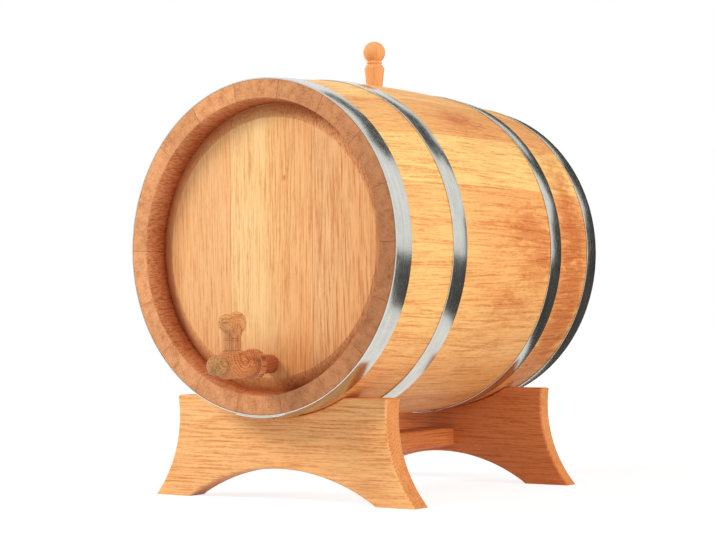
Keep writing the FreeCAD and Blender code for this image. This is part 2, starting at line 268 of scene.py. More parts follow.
def boolean(bm, others, operation):
    """Combine a bmesh with others through the exact solver."""
    made = []
    for k, source in enumerate([bm] + others):
        name = "scratch_%d" % k
        made.append(placed(name, mesh_of(source, name)))
    for ob in made[1:]:
        mod = made[0].modifiers.new("cut", "BOOLEAN")
        mod.operation, mod.solver, mod.object = operation, "EXACT", ob
    bpy.context.view_layer.update()
    done = made[0].evaluated_get(bpy.context.evaluated_depsgraph_get()).to_mesh()
    out = bmesh.new()
    out.from_mesh(done)
    for ob in made:
        mesh = ob.data
        bpy.data.objects.remove(ob)
        bpy.data.meshes.remove(mesh)
    return out


def piece(name, bm, body, nodes, materials, wood, tint, sharp=32.0, end_face=None):
    """Finish a bmesh in cask axes as a piece: wood coordinates, tint, shading, body and node.

    wood gives the grain coordinates of a point in mm: across, along and through the board.
    tint is a colour, or gives the colour at a point. A fourth value is the amount of stain.
    end_face gives a face's material number from its centre and normal.
    """
    if end_face:
        for f in bm.faces:
            f.material_index = int(end_face(f.calc_center_median(), f.normal))
    colour_at = tint if callable(tint) else lambda p: tint
    mesh = mesh_of(bm, name)
    grain = mesh.attributes.new("wood", "FLOAT_VECTOR", "POINT")
    grain.data.foreach_set("vector", [c for v in mesh.vertices for c in wood(v.co)])
    shade = mesh.attributes.new("tint", "FLOAT_COLOR", "POINT")
    shade.data.foreach_set("color", [c for v in mesh.vertices for c in ((*colour_at(v.co), 0.0)[:4])])
    mesh.transform(Matrix.Diagonal((MM, MM, MM, 1.0)) @ Matrix.Translation((0, FRONT_Y, AXIS_Z)))
    for m in materials:
        mesh.materials.append(m)
    mesh.shade_smooth()
    mesh.set_sharp_from_angle(angle=math.radians(sharp))
    ob = placed(name, mesh)
    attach(ob, body)
    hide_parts(*nodes)


# ---------------------------------------------------------------- colours
def srgb(r, g, b):
    """Linear colour of an 8-bit screen colour."""
    return tuple((c / 255 / 12.92 if c <= 10 else ((c / 255 + 0.055) / 1.055) ** 2.4) for c in (r, g, b))


def clamped(t):
    return min(1.0, max(0.0, t))


def blend_colour(a, b, t):
    return tuple(x + (y - x) * t for x, y in zip(a, b))


def ratio(a, b):
    return tuple(x / y for x, y in zip(a, b))


STAVE_PALE, STAVE_RED = srgb(249, 200, 124), srgb(228, 150, 84)
RIM_TINT = srgb(212, 148, 100)
RECESS_SHADE_TINT = srgb(174, 86, 40)             # the wall of the chime and edge of the head: the oiled wood's darker red with painted shade of the recess
HEAD_TINT, HEAD_PINK, HEAD_TAN = srgb(238, 193, 132), srgb(232, 178, 122), srgb(233, 173, 114)
EDGE_TINT = srgb(220, 146, 84)
# the rear board and the stretcher are darker and redder with painted shade of the bay under the cask
STAND_FRONT, STAND_REAR_SHADED, RAIL_SHADED_TINT = srgb(240, 180, 116), srgb(212, 126, 70), srgb(206, 124, 70)
# the shank's tone is darkened with painted shade, behind the flange and close to the head
TAP_TINT, NOSE_TINT, SHANK_SHADE_TINT = srgb(194, 124, 76), srgb(178, 128, 79), srgb(179, 101, 62)
KEY_TINT, HANDLE_TINT, BUNG_TINT = srgb(198, 137, 88), srgb(208, 151, 93), srgb(232, 166, 106)

# ---------------------------------------------------------------- material nodes
class Nodes:
    """Short hand for building a node tree."""

    def __init__(self, name):
        self.material = bpy.data.materials.new(name)
        self.material.use_nodes = True
        self.tree = self.material.node_tree
        self.shader = self.tree.nodes["Principled BSDF"]

    def feed(self, socket, value):
        if isinstance(value, bpy.types.NodeSocket):
            self.tree.links.new(value, socket)
        elif value is not None:
            socket.default_value = value

    def node(self, kind, *values, **settings):
        """A node with its settings made and its first inputs fed. None leaves an input as it is."""
        n = self.tree.nodes.new("ShaderNode" + kind)
        for key, setting in settings.items():
            setattr(n, key, setting)
        for socket, value in zip(n.inputs, values):
            self.feed(socket, value)
        return n

    def math(self, operation, a, b=None, c=None, clamp=False):
        return self.node("Math", a, b, c, operation=operation, use_clamp=clamp).outputs[0]

    def vector(self, operation, a, b=None):
        n = self.node("VectorMath", a, b, operation=operation)
        return n.outputs["Value" if operation in ("LENGTH", "DISTANCE") else "Vector"]

    def noise(self, place, scale, detail=2.0, roughness=0.5, distortion=0.0, colour=False):
        n = self.node("TexNoise", self.vector("MULTIPLY", place, scale))
        n.inputs["Scale"].default_value = 1.0
        n.inputs["Detail"].default_value = detail
        n.inputs["Roughness"].default_value = roughness
        n.inputs["Distortion"].default_value = distortion
        return n.outputs["Color" if colour else "Fac"]

    def split(self, place):
        return self.node("SeparateXYZ", place).outputs

    def join(self, x, y, z):
        return self.node("CombineXYZ", x, y, z).outputs[0]

    def remap(self, value, low, high):
        """0 at low and 1 at high, eased at both ends."""
        return self.node("MapRange", value, low, high, interpolation_type="SMOOTHSTEP").outputs[0]

    def ramp(self, value, stops):
        """Colour ramp through (place, colour) or (place, grey) stops."""
        n = self.node("ValToRGB", value)
        cr = n.color_ramp
        while len(cr.elements) < len(stops):
            cr.elements.new(0.5)
        for e, (place, colour) in zip(cr.elements, stops):
            e.position = place
            e.color = (*colour, 1.0) if isinstance(colour, tuple) else (colour, colour, colour, 1.0)
        return n.outputs[0]

    def mix(self, amount, a, b, kind="MIX"):
        n = self.node("Mix", data_type="RGBA", blend_type=kind)
        self.feed(n.inputs["Factor"], amount)
        for socket, value in ((n.inputs[6], a), (n.inputs[7], b)):
            self.feed(socket, (*value, 1.0) if isinstance(value, tuple) and len(value) == 3 else value)
        return n.outputs[2]

    def attribute(self, name, output):
        return self.node("Attribute", attribute_name=name).outputs[output]

    def bump(self, height, strength, distance):
        n = self.node("Bump")
        n.inputs["Strength"].default_value = strength
        n.inputs["Distance"].default_value = distance
        self.feed(n.inputs["Height"], height)
        return n.outputs[0]

    def swing(self, value, pattern, amount):
        """A value raised and lowered by a pattern of 0 to 1 about its middle."""
        return self.math("MULTIPLY_ADD", self.math("SUBTRACT", pattern, 0.5), amount, value)

    def times(self, colour, other):
        return self.mix(1.0, colour, other, "MULTIPLY")

    def bend(self, wood, scale, amount):
        """Grain coordinates that sway across and through the board, by half of amount in mm at most."""
        sway = self.noise(wood, scale, colour=True)
        off = self.vector("SUBTRACT", sway, (0.5, 0.5, 0.5))
        return self.vector("ADD", wood, self.vector("MULTIPLY", off, (amount, 0.0, amount)))

    def finish(self, colour, roughness, normal, specular=0.3, metallic=0.0):
        self.feed(self.shader.inputs["Base Color"], colour)
        self.feed(self.shader.inputs["Roughness"], roughness)
        self.feed(self.shader.inputs["Normal"], normal)
        self.shader.inputs["Specular IOR Level"].default_value = specular
        self.shader.inputs["Metallic"].default_value = metallic
        return self.material


def oak(name, ring=2.6, ring_depth=0.25, grain=1.3, lines=0.30, streaks=0.35, bands=0.5, mottle=0.45,
        flecks=0.5, pores=0.35, warmth=0.6, across=None, dark_wood_and_tap_shadow=None, knot=None, gloss=0.5,
        dark=(0.76, 0.54, 0.42), light=(1.06, 1.10, 1.16), relief=0.36):
    """Oak as a solid: growth rings about the pith, long fibres, dark lines, pores, bands and mottling.

    The grain coordinates are in mm: x across, y along, z through the board, with the pith at x = z = 0.
    The tint attribute's alpha says how far a spot is stained. across is (from x, to x, colour stops) over
    the board's width, and dark_wood_and_tap_shadow (x, height where it starts, height where it is full) the
    dark part round the tap, darker wood with painted shadow of the tap.
    """
    n = Nodes(name)
    wood = n.attribute("wood", "Vector")
    tint, stain = n.attribute("tint", "Color"), n.attribute("tint", "Alpha")
    bent = n.bend(wood, (0.020, 0.0035, 0.020), 9.0)
    x, _, z = n.split(bent)
    radius = n.vector("LENGTH", n.join(x, 0.0, z))
    phase = n.math("FRACT", n.math("DIVIDE", radius, ring))
    rings = n.ramp(phase, ((0.0, 0.35), (0.12, 0.05), (0.42, 0.62), (0.80, 1.0), (0.97, 0.75), (1.0, 0.35)))
    fibre = n.noise(bent, (0.80, 0.022, 0.80), detail=3.0, roughness=0.60)
    line = n.noise(bent, (0.52, 0.012, 0.52), detail=1.0)
    stroke = n.noise(bent, (0.17, 0.020, 0.17), roughness=0.55)
    fleck = n.noise(bent, (0.50, 0.16, 0.50), roughness=0.6)
    band = n.noise(bent, (0.045, 0.0028, 0.045))
    patch = n.noise(wood, (0.034, 0.016, 0.034), detail=4.0, roughness=0.62, distortion=0.5)
    value = n.swing(0.60, rings, ring_depth)
    fibres = n.remap(fibre, 0.33, 0.67)
    for pattern, amount in ((fibres, grain), (band, bands), (patch, mottle), (fleck, flecks)):
        value = n.swing(value, pattern, amount)
    value = n.math("MULTIPLY_ADD", n.remap(line, 0.54, 0.60), -lines, value)
    value = n.math("MULTIPLY_ADD", n.remap(stroke, 0.58, 0.74), -streaks, value)
    dash = n.noise(bent, (1.7, 0.085, 1.7), detail=1.0, roughness=0.4)
    early = n.remap(rings, 0.75, 0.15)
    pore = n.math("MULTIPLY", n.remap(dash, 0.58, 0.68), n.math("MULTIPLY_ADD", early, 0.7, 0.3))
    colour = n.times(tint, n.ramp(value, ((0.0, dark), (0.58, (0.97, 0.96, 0.95)), (1.0, light))))
    warm = n.math("MULTIPLY", n.remap(n.noise(wood, (0.022, 0.006, 0.022)), 0.38, 0.66), warmth)
    colour = n.mix(warm, colour, n.times(colour, (0.985, 0.90, 0.82)))
    blotch = n.noise(wood, (0.11, 0.040, 0.11), detail=4.0, roughness=0.68, distortion=0.8)
    soaked = n.math("ADD", n.math("MULTIPLY", blotch, 1.5), n.math("MULTIPLY", stain, 0.5))
    stained = n.math("MULTIPLY", n.remap(soaked, 0.80, 1.24), stain)
    colour = n.mix(stained, colour, n.times(colour, (0.74, 0.47, 0.36)))
    colour = n.mix(n.math("MULTIPLY", pore, pores), colour, n.times(colour, (0.58, 0.42, 0.32)))
    if across:
        start, end, stops = across
        flat_x, flat_y, _ = n.split(wood)
        colour = n.times(colour, n.ramp(n.remap(flat_x, start, end), stops))
        # darker wood with painted shadow of the tap, below it and beside it
        middle_x, top, bottom = dark_wood_and_tap_shadow
        beside = n.remap(n.math("ABSOLUTE", n.math("SUBTRACT", flat_x, middle_x)), 120.0, 15.0)
        dark_and_shadowed = n.math("MULTIPLY", beside, n.remap(flat_y, top, bottom))
        colour = n.mix(dark_and_shadowed, colour, n.times(colour, (0.80, 0.66, 0.56)))
    if knot:
        squash = (1.0, 0.55, 1.0)
        spot = tuple(a * b for a, b in zip(knot, squash))
        away = n.vector("DISTANCE", n.vector("MULTIPLY", wood, squash), spot)
        colour = n.mix(n.remap(away, 2.4, 0.6), colour, n.times(colour, (0.74, 0.50, 0.36)))
    rough = n.swing(gloss, fibre, 0.18)
    rough = n.math("MULTIPLY_ADD", pore, 0.2, rough, clamp=True)
    height = n.math("MULTIPLY_ADD", pore, -1.0, n.math("MULTIPLY", fibre, 0.6))
    return n.finish(colour, rough, n.bump(height, relief, 0.0002))


def oak_end(name, ring=2.6, ring_depth=0.10, rays=0.40, gloss=0.6):
    """End grain of the same boards: faint ring arcs crossed by fine rays, mottled and rougher."""
    n = Nodes(name)
    wood, tint = n.attribute("wood", "Vector"), n.attribute("tint", "Color")
    bent = n.bend(wood, (0.05, 0.05, 0.05), 4.0)
    x, y, z = n.split(bent)
    radius = n.vector("LENGTH", n.join(x, 0.0, z))
    angle = n.math("ARCTAN2", x, z)
    phase = n.math("FRACT", n.math("DIVIDE", radius, ring))
    rings = n.ramp(phase, ((0.0, 0.3), (0.2, 0.0), (0.5, 0.7), (0.85, 1.0), (1.0, 0.3)))
    polar = n.join(n.math("MULTIPLY", angle, 90.0), y, n.math("MULTIPLY", radius, 0.10))
    ray = n.noise(polar, (1.0, 0.02, 1.0))
    speck = n.noise(wood, (0.55, 0.3, 0.55), detail=3.0, roughness=0.65)
    patch = n.noise(wood, (0.10, 0.06, 0.10), detail=3.0, roughness=0.6)
    value = n.swing(0.55, rings, ring_depth)
    for pattern, amount in ((ray, rays), (speck, 1.2), (patch, 1.5)):
        value = n.swing(value, pattern, amount)
    stops = ((0.1, (0.66, 0.54, 0.46)), (0.55, (0.96, 0.95, 0.94)), (1.0, (1.16, 1.20, 1.26)))
    colour = n.times(tint, n.ramp(value, stops))
    rough = n.math("MULTIPLY_ADD", speck, 0.2, gloss - 0.1, clamp=True)
    return n.finish(colour, rough, n.bump(n.math("ADD", speck, ray), 0.35, 0.0002), specular=0.2)


def steel(name, tone=(0.70, 0.71, 0.66), gloss=0.20):
    """Galvanised strip: rolled streaks round the hoop, dull spangle and faint scratches."""
    n = Nodes(name)
    strip = n.attribute("wood", "Vector")
    rolled = n.noise(strip, (0.010, 1.1, 1.0), detail=3.0, roughness=0.6)
    spangle = n.noise(strip, (0.16, 0.16, 0.16), detail=3.0, roughness=0.55)
    dust = n.noise(strip, (0.03, 0.05, 0.03), detail=3.0, roughness=0.6)
    scratch = n.noise(strip, (0.05, 2.6, 1.0), roughness=0.4)
    value = 0.5
    for pattern, amount in ((rolled, 0.7), (spangle, 0.25), (dust, 0.4)):
        value = n.swing(value, pattern, amount)
    low, high = tuple(c * 0.70 for c in tone), tuple(min(1.0, c * 1.14) for c in tone)
    colour = n.ramp(value, ((0.2, low), (0.8, high)))
    rough = n.swing(gloss, spangle, 0.14)
    rough = n.math("MULTIPLY_ADD", n.remap(scratch, 0.6, 0.75), 0.12, rough, clamp=True)
    height = n.math("MULTIPLY_ADD", scratch, 0.4, rolled)
    return n.finish(colour, rough, n.bump(height, 0.14, 0.0001), specular=0.5, metallic=1.0)


OAK_STAVE = oak("oak_stave", ring=3.0, ring_depth=0.26, grain=0.72, lines=0.22, streaks=0.14, bands=0.6,
                mottle=0.8, flecks=1.0)
OAK_RIM = oak_end("oak_rim")
OAK_CHIME = oak("oak_chime", ring=3.0, grain=1.1, lines=0.45, streaks=0.5, mottle=1.1, pores=0.6, gloss=0.6)
OAK_STAND = oak("oak_stand", ring=3.4, ring_depth=0.22, grain=0.75, lines=0.24, streaks=0.14, bands=0.5,
                flecks=0.9)
TURNED_OAK = oak("turned_oak", ring=2.1, ring_depth=0.50, grain=0.7, lines=0.1, streaks=0.3, bands=0.5,
                 mottle=1.3, pores=0.5, gloss=0.45, dark=(0.55, 0.36, 0.26), light=(1.15, 1.25, 1.35))
BUNG_OAK = oak("bung_oak", ring=2.6, ring_depth=0.12, grain=0.5, lines=0.04, streaks=0.06, mottle=0.6,
               pores=0.2, gloss=0.45)
KEY_OAK = oak("key_oak", ring=1.7, ring_depth=0.42, grain=0.8, lines=0.1, streaks=0.2, mottle=0.9, gloss=0.45,
              dark=(0.58, 0.40, 0.30), light=(1.12, 1.18, 1.26))
HOOP_STEEL = steel("hoop_steel")
RIVET_STEEL = steel("rivet_steel", tone=(0.30, 0.29, 0.27), gloss=0.30)

SEED = 11
dice = random.Random(SEED)


def seated(tilt):
    """Where a board was cut from its log: offsets that put the pith across, along and below it."""
    across, along = dice.uniform(-25.0, 25.0), dice.uniform(0.0, 4000.0)
    return across, along, dice.choice((-1, 1)) * dice.uniform(36.0, 96.0), tilt


# ---------------------------------------------------------------- staves
SEAM_DEPTH, SEAM_GAP, SEAM_ANGLE = 0.35, 0.012, 0.16     # mm, degrees, degrees
CHIME_ROUND = 1.0


def stave_loop():
    """Closed section of a stave along its length, as (radius, y)."""
    end = CASK_LEN
    c0, c1 = CROZE_Y, CROZE_Y + CROZE_W
    corners = [(CHIME_IN_R, 0, 0.8), (END_R, 0, CHIME_ROUND)]
    corners += [(bent_r(y), y, 0) for y in spread(4.0, end - 4.0, 44)]
    corners += [(END_R, end, CHIME_ROUND), (CHIME_IN_R, end, 0.8), (CHIME_ROOT_R, end - c0, 0.3),
                (CROZE_R, end - c0, 0), (CROZE_R, end - c1, 0)]
    corners += [(bent_r(y, STAVE_T), y, 0) for y in spread(end - c1, c1, 10)]
    corners += [(CROZE_R, c1, 0), (CROZE_R, c0, 0), (CHIME_ROOT_R, c0, 0.3)]
    return rounded(corners, 0.0, steps=3, loop=True)


def stave_wood(middle, cut):
    du, dv, dw, tilt = cut

    def wood(p):
        r = math.hypot(p.x, p.z)
        across = math.radians(degrees_from(middle, p)) * (BILGE_R + END_R) / 2
        depth = r - bent_r(min(max(p.y, 0.0), CASK_LEN))
        return across + du + tilt * p.y, p.y + dv, depth + dw
    return wood


def bung_r(z):
    return taper(z, BUNG_R_BOTTOM, BUNG_BOTTOM + 1.0, BUNG_R_TOP, BUNG_TOP_TAPER)


# How far each stave's own wood is from the palest (0) to the reddest (1), from the right over the top.
STAVE_TONES = (0.62, 0.02, 0.70, 0.30, 0.40, 0.55, 0.25, 0.45, 0.60,
               0.30, 0.70, 0.40, 0.55, 0.75, 0.80, 0.62, 0.46, 0.55)


def make_staves():
    full = stave_loop()
    small = inset(full, SEAM_DEPTH)
    width = 360.0 / STAVES
    for i in range(STAVES):
        start = i * width
        middle = start + width / 2
        stations = [(start + SEAM_GAP, small)]
        stations += [(a, full) for a in spread(start + SEAM_ANGLE, start + width - SEAM_ANGLE, 8)]
        stations += [(start + width - SEAM_GAP, small)]
        bm = bmesh.new()
        loft(bm, [[cask_point(r, y, a) for r, y in loop] for a, loop in stations])
        name = "stave_%02d" % (i + 1)
        if abs(middle - 90.0) < 0.1:
            lo, hi = BILGE_R - STAVE_T - 12.0, BILGE_R + 12.0
            hole = turned(tapered_hole(bung_r, lo, hi), 48, "z", (0, BUNG_Y, 0))
            bm = boolean(bm, [hole], "DIFFERENCE")
            name = "stave_bung"
        light = dice.uniform(0.97, 1.03)
        shade = dice.uniform(0.94, 1.06)
        rim = tuple(c * shade for c in RIM_TINT)
        cut = seated(tilt=dice.uniform(-0.02, 0.02))
        piece(name + "_oak", bm, "cask", [name], [OAK_STAVE, OAK_RIM, OAK_CHIME],
              stave_wood(middle, cut), stave_tint(STAVE_TONES[i], light, rim), end_face=stave_face)


# angle and y of each stain's middle, its reach in degrees and in mm, and its amount
STAINS = ((49, 190, 8, 60, 0.75), (9, 222, 10, 58, 0.80), (-5, 246, 8, 50, 0.75), (-20, 196, 8, 60, 0.70),
          (2, 322, 34, 34, 0.80), (-34, 320, 26, 40, 0.9), (30, 318, 20, 24, 0.45), (-44, 200, 14, 70, 0.35),
          (150, 120, 12, 40, 0.7), (205, 260, 14, 50, 0.7))
RIM_DEPTH = 0.9                            # the sawn end of a stave reaches this far along it
BAY_END, BAY_FADE = 140.0, 70.0            # painted light: the front bay is paler up to BAY_END, with a fade before it
LOW_END, LOW_FADE = -110.0, 60.0           # but not below the height LOW_END, which keeps painted shade on the lower staves, with a fade above it
PAINTED_LIGHT_PALING = 0.25
WORN_AT, WORN_REACH, WORN_SHADE = -8.0, 115.0, 0.60        # the rim is darkest at WORN_AT degrees


def stain_at(p):
    """Amount of the darker, redder staining at a point of the cask's outside."""
    total = 0.0
    for angle, y, across, along, amount in STAINS:
        total += amount * math.exp(-(degrees_from(angle, p) / across) ** 2 - ((p.y - y) / along) ** 2)
    return min(1.0, total)


def rim_shade(p):
    """Shade of the rim: WORN_SHADE on its right side, rising to 1 at WORN_REACH degrees from there."""
    away = min(1.0, abs(degrees_from(WORN_AT, p)) / WORN_REACH)
    return WORN_SHADE + (1.0 - WORN_SHADE) * away * away * (3.0 - 2.0 * away)


def stave_tint(tone, light, rim):
    """Colour over a stave: its own tone with painted light paling the upper front bay, or that of rim or
    chime wall.
    """
    def colour(p):
        from_end = min(p.y, CASK_LEN - p.y)
        if from_end < RIM_DEPTH:
            worn = rim_shade(p)
            return tuple(c * worn ** power for c, power in zip(rim, (1.0, 1.15, 1.2)))
        if from_end < CROZE_Y + CROZE_W and math.hypot(p.x, p.z) < CROZE_R + 1:
            # painted shade: the chime's wall inside the rim takes the dark recess colour
            return RECESS_SHADE_TINT
        # painted light: the lit upper front bay is paler, and the lower and rear staves keep painted shade
        painted_light = clamped((BAY_END - p.y) / BAY_FADE) * clamped((p.z - LOW_END) / LOW_FADE)
        wood = blend_colour(STAVE_PALE, STAVE_RED, max(0.0, tone - PAINTED_LIGHT_PALING * painted_light))
        return (*(c * light for c in wood), stain_at(p))
    return colour


def stave_face(c, normal):
    """Material number of a stave's face: 1 on the sawn ends, 2 on the wall of the chime."""
    from_end = min(c.y, CASK_LEN - c.y)
    if abs(normal.y) > 0.8 and from_end < 3:
        return 1
    return 2 if from_end < CROZE_Y + 1 and math.hypot(c.x, c.z) < CHIME_IN_R + 0.5 else 0


# ---------------------------------------------------------------- heads
JOINT_V, JOINT_GAP = 0.35, 0.02             # V groove and half the gap between two boards


def head_path():
    f, c0, c1, b = HEAD_FACE_Y, CROZE_Y, CROZE_Y + CROZE_W, HEAD_FACE_Y + HEAD_T
    return rounded([(0, f), (HEAD_FLAT_R, f, 0.8), (CHIME_ROOT_R - 0.4, c0, 0), (CROZE_R - 0.1, c0, 0),
                    (CROZE_R - 0.1, c1, 0), (bent_r(c1, STAVE_T) - 0.6, c1, 0),
                    (HEAD_BACK_R, b, 1.5), (0, b)], 0.0, steps=5)


def slice_plane(bm, point, normal):
    """Cut away what lies on the side the normal points to, and close the cut."""
    geom = list(bm.verts) + list(bm.edges) + list(bm.faces)
    cut = bmesh.ops.bisect_plane(bm, geom=geom, plane_co=point, plane_no=normal, clear_outer=True)
    edges = [e for e in cut["geom_cut"] if isinstance(e, bmesh.types.BMEdge)]
    bmesh.ops.contextual_create(bm, geom=edges)


def head_tint(p):
    """The boards' own colour on the flat; on the bevel, the oiled wood's darker red with painted shade."""
    depth = min(p.y, CASK_LEN - p.y) - HEAD_FACE_Y
    # painted shade: the deeper the bevel lies, the more of the dark recess colour it takes
    return blend_colour(HEAD_TINT, RECESS_SHADE_TINT, 0.62 * clamped(depth / 1.2))


def shank_r(y):
    return taper(y, SHANK_R_OUT, SHANK_START, SHANK_R_IN, SHANK_END)


# where each head board was cut: across, along and through offsets in mm, and tilt of the grain
HEAD_CUTS = {"left": (38.0, 300.0, 55.0, 0.010), "middle": (12.0, 1500.0, 85.0, -0.012),
             "right": (-70.0, 2600.0, 60.0, 0.012)}
REAR_SHIFT = 700.0             # the rear head comes from farther along the same boards
KNOT = (18.0, 66.0)            # x and height of the small knot on the middle board
PAST_R = CROZE_R + 5           # beyond a head's rim, where its outer boards aren't cut
HEAD_SIDES = {"left": (-PAST_R, HEAD_JOINTS[0]), "middle": HEAD_JOINTS, "right": (HEAD_JOINTS[1], PAST_R)}
PINK, TAN, PLAIN = ratio(HEAD_PINK, HEAD_TINT), ratio(HEAD_TAN, HEAD_TINT), (1.0, 1.0, 1.0)


def knot_wood():
    """Grain coordinates of the knot, on the face of the middle board."""
    (x, z), (across, along, through, tilt) = KNOT, HEAD_CUTS["middle"]
    return x + across + tilt * z, z + along, HEAD_FACE_Y + through


def head_oak(side, *stops, **grain):
    """Oak of one head board, whose colour changes across it and darkens below and beside the tap with painted
    shadow.
    """
    across, up = HEAD_CUTS[side][:2]
    x0, x1 = HEAD_SIDES[side]
    return oak("oak_head_" + side, across=(x0 + across, x1 + across, stops),
               dark_wood_and_tap_shadow=(across + 8.0, up - 62.0, up - 122.0), **grain)


OAK_HEAD = {
    "left": head_oak("left", (0.0, TAN), (0.6, PINK), (1.0, PINK), ring=2.6, ring_depth=0.14, grain=0.66,
                     lines=0.14, streaks=0.0, mottle=0.40),
    "middle": head_oak("middle", (0.0, PLAIN), (0.35, PLAIN), (1.0, TAN), ring=3.0, ring_depth=0.16,
                       grain=0.76, lines=0.16, streaks=0.0, bands=0.8, mottle=0.45, knot=knot_wood()),
    "right": head_oak("right", (0.0, PINK), (0.5, TAN), (1.0, PINK), ring=2.4, ring_depth=0.20, grain=0.95,
                      lines=0.28, streaks=0.06, bands=0.7, mottle=0.45),
}


def head_wood(cut, shift):
    """Grain coordinates of a head board, which stands upright."""
    across, along, through, tilt = cut
    return lambda p: (p.x + across + tilt * p.z, p.z + along + shift, p.y + through)


def make_heads():
    for end in ("front", "rear"):
        for side, (x0, x1) in HEAD_SIDES.items():
            bm = bmesh.new()
            lathe(bm, head_path(), 180)
            centres = [v for v in bm.verts if math.hypot(v.co.x, v.co.z) < TINY]
            bmesh.ops.dissolve_verts(bm, verts=centres)
            for x, way in ((x0, -1), (x1, 1)):
                if abs(x) < CROZE_R:
                    slice_plane(bm, Vector((x - way * JOINT_GAP, 0, 0)), Vector((way, 0, 0)))
                    slice_plane(bm, Vector((x - way * JOINT_V, HEAD_FACE_Y, 0)), Vector((way, -1, 0)))
            if end == "front" and side == "middle":
                lo, hi = HEAD_FACE_Y - 3, HEAD_FACE_Y + HEAD_T + 3
                hole = turned(tapered_hole(shank_r, lo, hi), 48, "y", (0, 0, TAP_Z))
                bm = boolean(bm, [hole], "DIFFERENCE")
            if end == "rear":
                bmesh.ops.scale(bm, vec=(1, -1, 1), verts=bm.verts)
                bmesh.ops.translate(bm, vec=(0, CASK_LEN, 0), verts=bm.verts)
                bmesh.ops.reverse_faces(bm, faces=bm.faces)
            name = "head_%s_%s" % (end, side)
            shift = 0.0 if end == "front" else REAR_SHIFT
            piece(name + "_oak", bm, "cask", [name], [OAK_HEAD[side]],
                  head_wood(HEAD_CUTS[side], shift), head_tint, sharp=22.0)


# ---------------------------------------------------------------- hoops
def strip_wood(offset):
    def wood(p):
        a = math.atan2(p.z, p.x) % (2 * math.pi)
        r = math.hypot(p.x, p.z)
        return a * BILGE_R + offset, p.y, r
    return wood


def strip_loop(y, low, high):
    """Rounded section of a strip from y on, lying low..high above the staves."""
    corners = []
    middle, far = y + HOOP_W / 2, y + HOOP_W
    for yy, e in ((y, low), (middle, low), (far, low), (far, high), (middle, high), (y, high)):
        corners.append((bent_r(yy) + e, yy, 0.0 if yy == middle else 0.35))
    return rounded(corners, 0.35, steps=3, loop=True)


RIVET_DOME = ((0, -0.1), (3.0, -0.1), (3.0, 0.25, 0.2), (2.3, 1.0, 1.2), (0, 1.35))
RIVET_SINK = 0.15
WHITE = (1, 1, 1)


def make_hoops():
    for k, y in enumerate(HOOP_STARTS):
        name = "hoop_%d" % (k + 1)
        bm = bmesh.new()
        ring = strip_loop(y, 0.06, HOOP_T)
        loft(bm, [[cask_point(r, yy, a) for r, yy in ring] for a in spread(0, 360, 180)[:-1]], join_ends=True)
        lap = []
        for a in spread(LAP_FROM, LAP_SINKS, 20) + spread(LAP_SINKS, LAP_TO, 3)[1:]:
            sink = max(0.0, a - LAP_SINKS) / (LAP_TO - LAP_SINKS) * HOOP_T
            lap.append((a, strip_loop(y, HOOP_T + 0.02 - sink, 2 * HOOP_T - sink)))
        loft(bm, [[cask_point(r, yy, a) for r, yy in loop] for a, loop in lap])
        piece(name + "_strip", bm, "cask", [name], [HOOP_STEEL], strip_wood(k * 900.0), WHITE,
              sharp=40.0)
        heads = bmesh.new()
        top = bent_r(y + HOOP_W / 2) + 2 * HOOP_T - RIVET_SINK
        for a in RIVET_ANGLES:
            dome = turned(rounded(RIVET_DOME, 0.0, steps=5), 32)
            turn = Matrix.Rotation(-math.radians(a), 4, "Y") @ Matrix.Translation((top, y + HOOP_W / 2, 0))
            dome.transform(turn @ Matrix.Rotation(-math.pi / 2, 4, "Z"))
            mesh = mesh_of(dome, "scratch_rivet")
            heads.from_mesh(mesh)
            bpy.data.meshes.remove(mesh)
        piece(name + "_rivet_heads", heads, "cask", [name + "_rivets"], [RIVET_STEEL],
              strip_wood(k * 70.0), WHITE)


# ---------------------------------------------------------------- bung, tap and key
NOSE_FROM, NOSE_FADE = -58.0, 8.0            # the nose's tone goes over into the barrel's behind NOSE_FROM
TAP_CUT, TAP_LEAN = (148.0, 7100.0, 12.0), (0.94, 0.34)         # leans are cosine and sine
HANDLE_CUT, HANDLE_LEAN = (90.0, 9700.0, 6.0), (0.6, 0.8)
EYE_Y, EYE_REACH, EYE_DEPTH = -36.0, 13.0, 7.0


def tap_tint(p):
    """Nose and barrel of the tap, each in its own tone; the shank darker with painted shade behind the
    flange.
    """
    if p.y > SHANK_START:
        # painted shade: the shank behind the flange, close to the head
        return SHANK_SHADE_TINT
    return blend_colour(NOSE_TINT, TAP_TINT, clamped((p.y - NOSE_FROM) / NOSE_FADE))


def tap_wood(p):
    """Layers that lie across X, tipped upward, with an eye of the grain on the side of the barrel."""
    eye = EYE_DEPTH * math.exp(-((p.y - EYE_Y) / EYE_REACH) ** 2)
    z, (c, s), (across, along, through) = p.z - TAP_Z, TAP_LEAN, TAP_CUT
    return p.x * c + z * s + eye + across, p.y + along, z * c - p.x * s + through


def handle_wood(p):
    """Grain of the handle, set at a slant to its axis, so that an eye shows on the front knob."""
    y, z, (c, s), (across, along, through) = p.y - KEY_Y, p.z - TAP_Z - HANDLE_Z, HANDLE_LEAN, HANDLE_CUT
    return p.x * c - y * s + across, y * c + p.x * s + along, z + through


def upright_wood(shift, pith):
    """Grain coordinates of a piece turned about an upright axis, with the pith at a distance to one side."""
    return lambda p: (p.x + pith[0], p.z + shift, p.y + pith[1])


